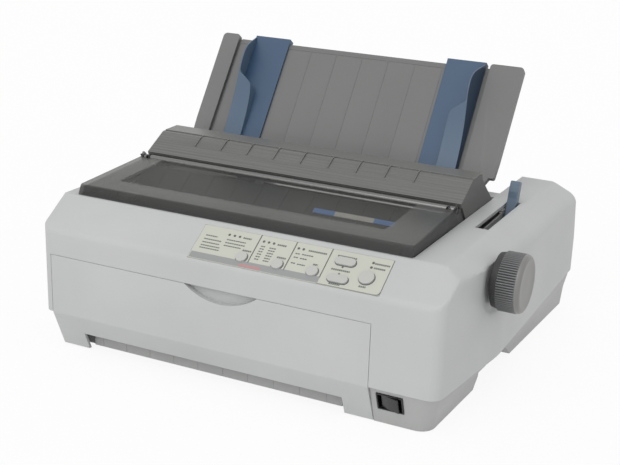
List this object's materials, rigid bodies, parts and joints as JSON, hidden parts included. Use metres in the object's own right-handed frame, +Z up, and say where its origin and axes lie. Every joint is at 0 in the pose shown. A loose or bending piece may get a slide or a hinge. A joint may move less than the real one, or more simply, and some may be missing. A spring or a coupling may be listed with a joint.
{
  "type": "dot matrix printer",
  "caption": "Desktop serial impact printer: grey two-part case, smoked lid, ribbed tension cover, raised sheet guide with sliding edge guides, platen knob, key panel, front door.",
  "frame": {"origin": "centre of the bounding box in plan, at the level of the desk under the feet", "axes": "+X to the right for someone facing the front, -Y towards them (the front), +Z up"},
  "size_m": [0.416, 0.356, 0.2479],
  "materials": {
    "case_light": "fine-textured light grey moulding",
    "case_grey": "fine-textured mid grey moulding",
    "smoked_clear": "smoked see-through plastic",
    "dark_plastic": "fine-textured dark grey moulding",
    "guide_blue": "blue-grey moulding",
    "panel_cream": "cream printed panel, satin",
    "key_grey": "light grey key",
    "lamp": "clear amber lens",
    "black_plastic": "black moulding",
    "black_matte": "black glass-filled moulding",
    "white_plastic": "natural white nylon or acetal",
    "knob_grey": "smooth grey moulding",
    "steel": "plain steel",
    "plated_sheet": "zinc-plated sheet steel",
    "motor_black": "dark lacquer",
    "sink_black": "black anodised",
    "roller_rubber": "fine ground rubber",
    "belt_rubber": "ribbed rubber",
    "ribbon_cloth": "inked woven ribbon",
    "board_green": "solder-masked board"
  },
  "bodies": {
    "case": {"lower_case": "case_grey", "upper_case": "case_light", "control_panel": "panel_cream", "indicator_lenses": "lamp", "front_paper_guide": "case_grey", "paper_exit_guide": "black_matte", "cover_bar": "steel", "bar_clips": "black_plastic", "power_switch_body": "black_plastic", "platen_bushings": "white_plastic", "feed_motor": "motor_black", "carriage_rod": "steel", "carriage_rail": "plated_sheet", "carriage_motor": "motor_black", "carriage_belt": "belt_rubber", "ribbon_cartridge": "black_matte", "ink_ribbon": "ribbon_cloth", "left_side_frame": "plated_sheet", "right_side_frame": "plated_sheet", "base_frame": "plated_sheet", "tractor_rod": "steel", "main_board": "board_green", "power_supply": "plated_sheet", "rear_sockets": "black_matte", "case_screws": "steel", "feet": "roller_rubber"},
    "front_door": {"front_cover": "case_light"},
    "smoked_lid": {"printer_cover": "smoked_clear"},
    "hood": {"tension_cover": "dark_plastic"},
    "sheet_rest": {"sheet_guide": "dark_plastic"},
    "left_stop": {"edge_guide_left": "guide_blue"},
    "right_stop": {"edge_guide_right": "guide_blue"},
    "font_button": {"font_key": "key_grey"},
    "pitch_button": {"pitch_key": "key_grey"},
    "tear_off_button": {"tear_off_key": "key_grey"},
    "load_button": {"load_key": "key_grey"},
    "line_feed_button": {"line_feed_key": "key_grey"},
    "pause_button": {"pause_key": "key_grey"},
    "rocker": {"power_rocker": "black_plastic"},
    "platen": {"platen_roller": "roller_rubber", "platen_shaft": "steel", "platen_knob": "knob_grey", "platen_gear": "white_plastic"},
    "idler": {"idler_gear": "white_plastic"},
    "pinion": {"feed_pinion": "steel"},
    "print_carriage": {"carriage": "black_matte", "print_head": "motor_black", "head_heat_sink": "sink_black"},
    "motor_pulley": {"drive_pulley": "white_plastic"},
    "idle_pulley": {"tension_pulley": "white_plastic"},
    "ribbon_winder": {"ribbon_knob": "white_plastic"},
    "feed_lever": {"release_lever": "guide_blue"},
    "gap_lever": {"thickness_lever": "guide_blue"},
    "tractor_drive": {"tractor_shaft": "steel"},
    "tractor_l": {"tractor_left": "dark_plastic"},
    "tractor_r": {"tractor_right": "dark_plastic"},
    "pin_door_l": {"tractor_door_left": "dark_plastic"},
    "pin_door_r": {"tractor_door_right": "dark_plastic"},
    "pin_wheel_l": {"sprocket_left": "white_plastic"},
    "pin_wheel_r": {"sprocket_right": "white_plastic"}
  },
  "joints": [
    {"name": "front_cover_swing", "type": "hinge", "parent": "case", "child": "front_door", "pos_m": [-0.044, -0.158, 0.0086], "axis": [1, 0, 0], "range_deg": [0, 65]},
    {"name": "printer_cover_swing", "type": "hinge", "parent": "case", "child": "smoked_lid", "pos_m": [-0.033, -0.036, 0.1495], "axis": [-1, 0, 0], "range_deg": [0, 95]},
    {"name": "tension_cover_tilt", "type": "hinge", "parent": "case", "child": "hood", "pos_m": [-0.033, 0.0595, 0.1285], "axis": [-1, 0, 0], "range_deg": [0, 15]},
    {"name": "sheet_guide_tilt", "type": "hinge", "parent": "case", "child": "sheet_rest", "pos_m": [-0.033, 0.05087, 0.13713], "axis": [-1, 0, 0], "range_deg": [0, 50]},
    {"name": "left_guide_slide", "type": "slide", "parent": "sheet_rest", "child": "left_stop", "axis": [1, 0, 0], "range_m": [-0.014, 0.06]},
    {"name": "right_guide_slide", "type": "slide", "parent": "sheet_rest", "child": "right_stop", "axis": [1, 0, 0], "range_m": [-0.096, 0.0035]},
    {"name": "font_press", "type": "slide", "parent": "case", "child": "font_button", "axis": [0, 0.5384, -0.8427], "range_m": [0, 0.0012], "stiffness_N_per_m": 400, "springref_m": -0.002},
    {"name": "pitch_press", "type": "slide", "parent": "case", "child": "pitch_button", "axis": [0, 0.5384, -0.8427], "range_m": [0, 0.0012], "stiffness_N_per_m": 400, "springref_m": -0.002},
    {"name": "tear_off_press", "type": "slide", "parent": "case", "child": "tear_off_button", "axis": [0, 0.5384, -0.8427], "range_m": [0, 0.0012], "stiffness_N_per_m": 400, "springref_m": -0.002},
    {"name": "load_press", "type": "slide", "parent": "case", "child": "load_button", "axis": [0, 0.5384, -0.8427], "range_m": [0, 0.0012], "stiffness_N_per_m": 400, "springref_m": -0.002},
    {"name": "line_feed_press", "type": "slide", "parent": "case", "child": "line_feed_button", "axis": [0, 0.5384, -0.8427], "range_m": [0, 0.0012], "stiffness_N_per_m": 400, "springref_m": -0.002},
    {"name": "pause_press", "type": "slide", "parent": "case", "child": "pause_button", "axis": [0, 0.5384, -0.8427], "range_m": [0, 0.0012], "stiffness_N_per_m": 400, "springref_m": -0.002},
    {"name": "power_rock", "type": "hinge", "parent": "case", "child": "rocker", "pos_m": [0.1282, -0.16816, 0.02553], "axis": [0, -0.3586, 0.9335], "range_deg": [0, 25]},
    {"name": "platen_turn", "type": "hinge", "parent": "case", "child": "platen", "pos_m": [-0.012, -0.084, 0.113], "axis": [1, 0, 0], "continuous": true},
    {"name": "idler_turn", "type": "hinge", "parent": "case", "child": "idler", "pos_m": [0.1257, -0.0612, 0.0826], "axis": [1, 0, 0], "continuous": true},
    {"name": "pinion_turn", "type": "hinge", "parent": "case", "child": "pinion", "pos_m": [0.1257, -0.0456, 0.0618], "axis": [1, 0, 0], "continuous": true},
    {"name": "carriage_travel", "type": "slide", "parent": "case", "child": "print_carriage", "axis": [1, 0, 0], "range_m": [-0.078, 0.14]},
    {"name": "motor_pulley_turn", "type": "hinge", "parent": "case", "child": "motor_pulley", "pos_m": [-0.162, -0.121, 0.069], "axis": [0, 0, 1], "continuous": true},
    {"name": "idle_pulley_turn", "type": "hinge", "parent": "case", "child": "idle_pulley", "pos_m": [0.096, -0.121, 0.069], "axis": [0, 0, 1], "continuous": true},
    {"name": "ribbon_wind", "type": "hinge", "parent": "case", "child": "ribbon_winder", "pos_m": [-0.153, -0.1225, 0.138], "axis": [0, 0, 1], "continuous": true},
    {"name": "release_lever_swing", "type": "hinge", "parent": "case", "child": "feed_lever", "pos_m": [0.15, 0.03, 0.07], "axis": [1, 0, 0], "range_deg": [0, 45]},
    {"name": "thickness_lever_swing", "type": "hinge", "parent": "case", "child": "gap_lever", "pos_m": [0.1158, -0.118, 0.1], "axis": [1, 0, 0], "range_deg": [-15, 15]},
    {"name": "tractor_shaft_turn", "type": "hinge", "parent": "case", "child": "tractor_drive", "pos_m": [-0.012, 0.112, 0.092], "axis": [1, 0, 0], "continuous": true},
    {"name": "left_tractor_slide", "type": "slide", "parent": "case", "child": "tractor_l", "axis": [1, 0, 0], "range_m": [-0.005, 0.02]},
    {"name": "right_tractor_slide", "type": "slide", "parent": "case", "child": "tractor_r", "axis": [1, 0, 0], "range_m": [-0.11, 0.005]},
    {"name": "left_pin_door_swing", "type": "hinge", "parent": "tractor_l", "child": "pin_door_l", "pos_m": [-0.1594, 0.112, 0.1015], "axis": [0, -1, 0], "range_deg": [0, 110]},
    {"name": "right_pin_door_swing", "type": "hinge", "parent": "tractor_r", "child": "pin_door_r", "pos_m": [0.0934, 0.112, 0.1015], "axis": [0, 1, 0], "range_deg": [0, 110]},
    {"name": "left_pin_wheel_turn", "type": "hinge", "parent": "tractor_l", "child": "pin_wheel_l", "pos_m": [-0.1473, 0.112, 0.092], "axis": [1, 0, 0], "continuous": true},
    {"name": "right_pin_wheel_turn", "type": "hinge", "parent": "tractor_r", "child": "pin_wheel_r", "pos_m": [0.0813, 0.112, 0.092], "axis": [1, 0, 0], "continuous": true}
  ],
  "couplings": [
    {"joint": "idler_turn", "follows": "platen_turn", "ratio": -0.9},
    {"joint": "pinion_turn", "follows": "platen_turn", "ratio": 3},
    {"joint": "motor_pulley_turn", "follows": "carriage_travel", "rad_per_m": -125},
    {"joint": "idle_pulley_turn", "follows": "carriage_travel", "rad_per_m": -125},
    {"joint": "left_pin_wheel_turn", "follows": "tractor_shaft_turn", "ratio": 1},
    {"joint": "right_pin_wheel_turn", "follows": "tractor_shaft_turn", "ratio": 1}
  ]
}
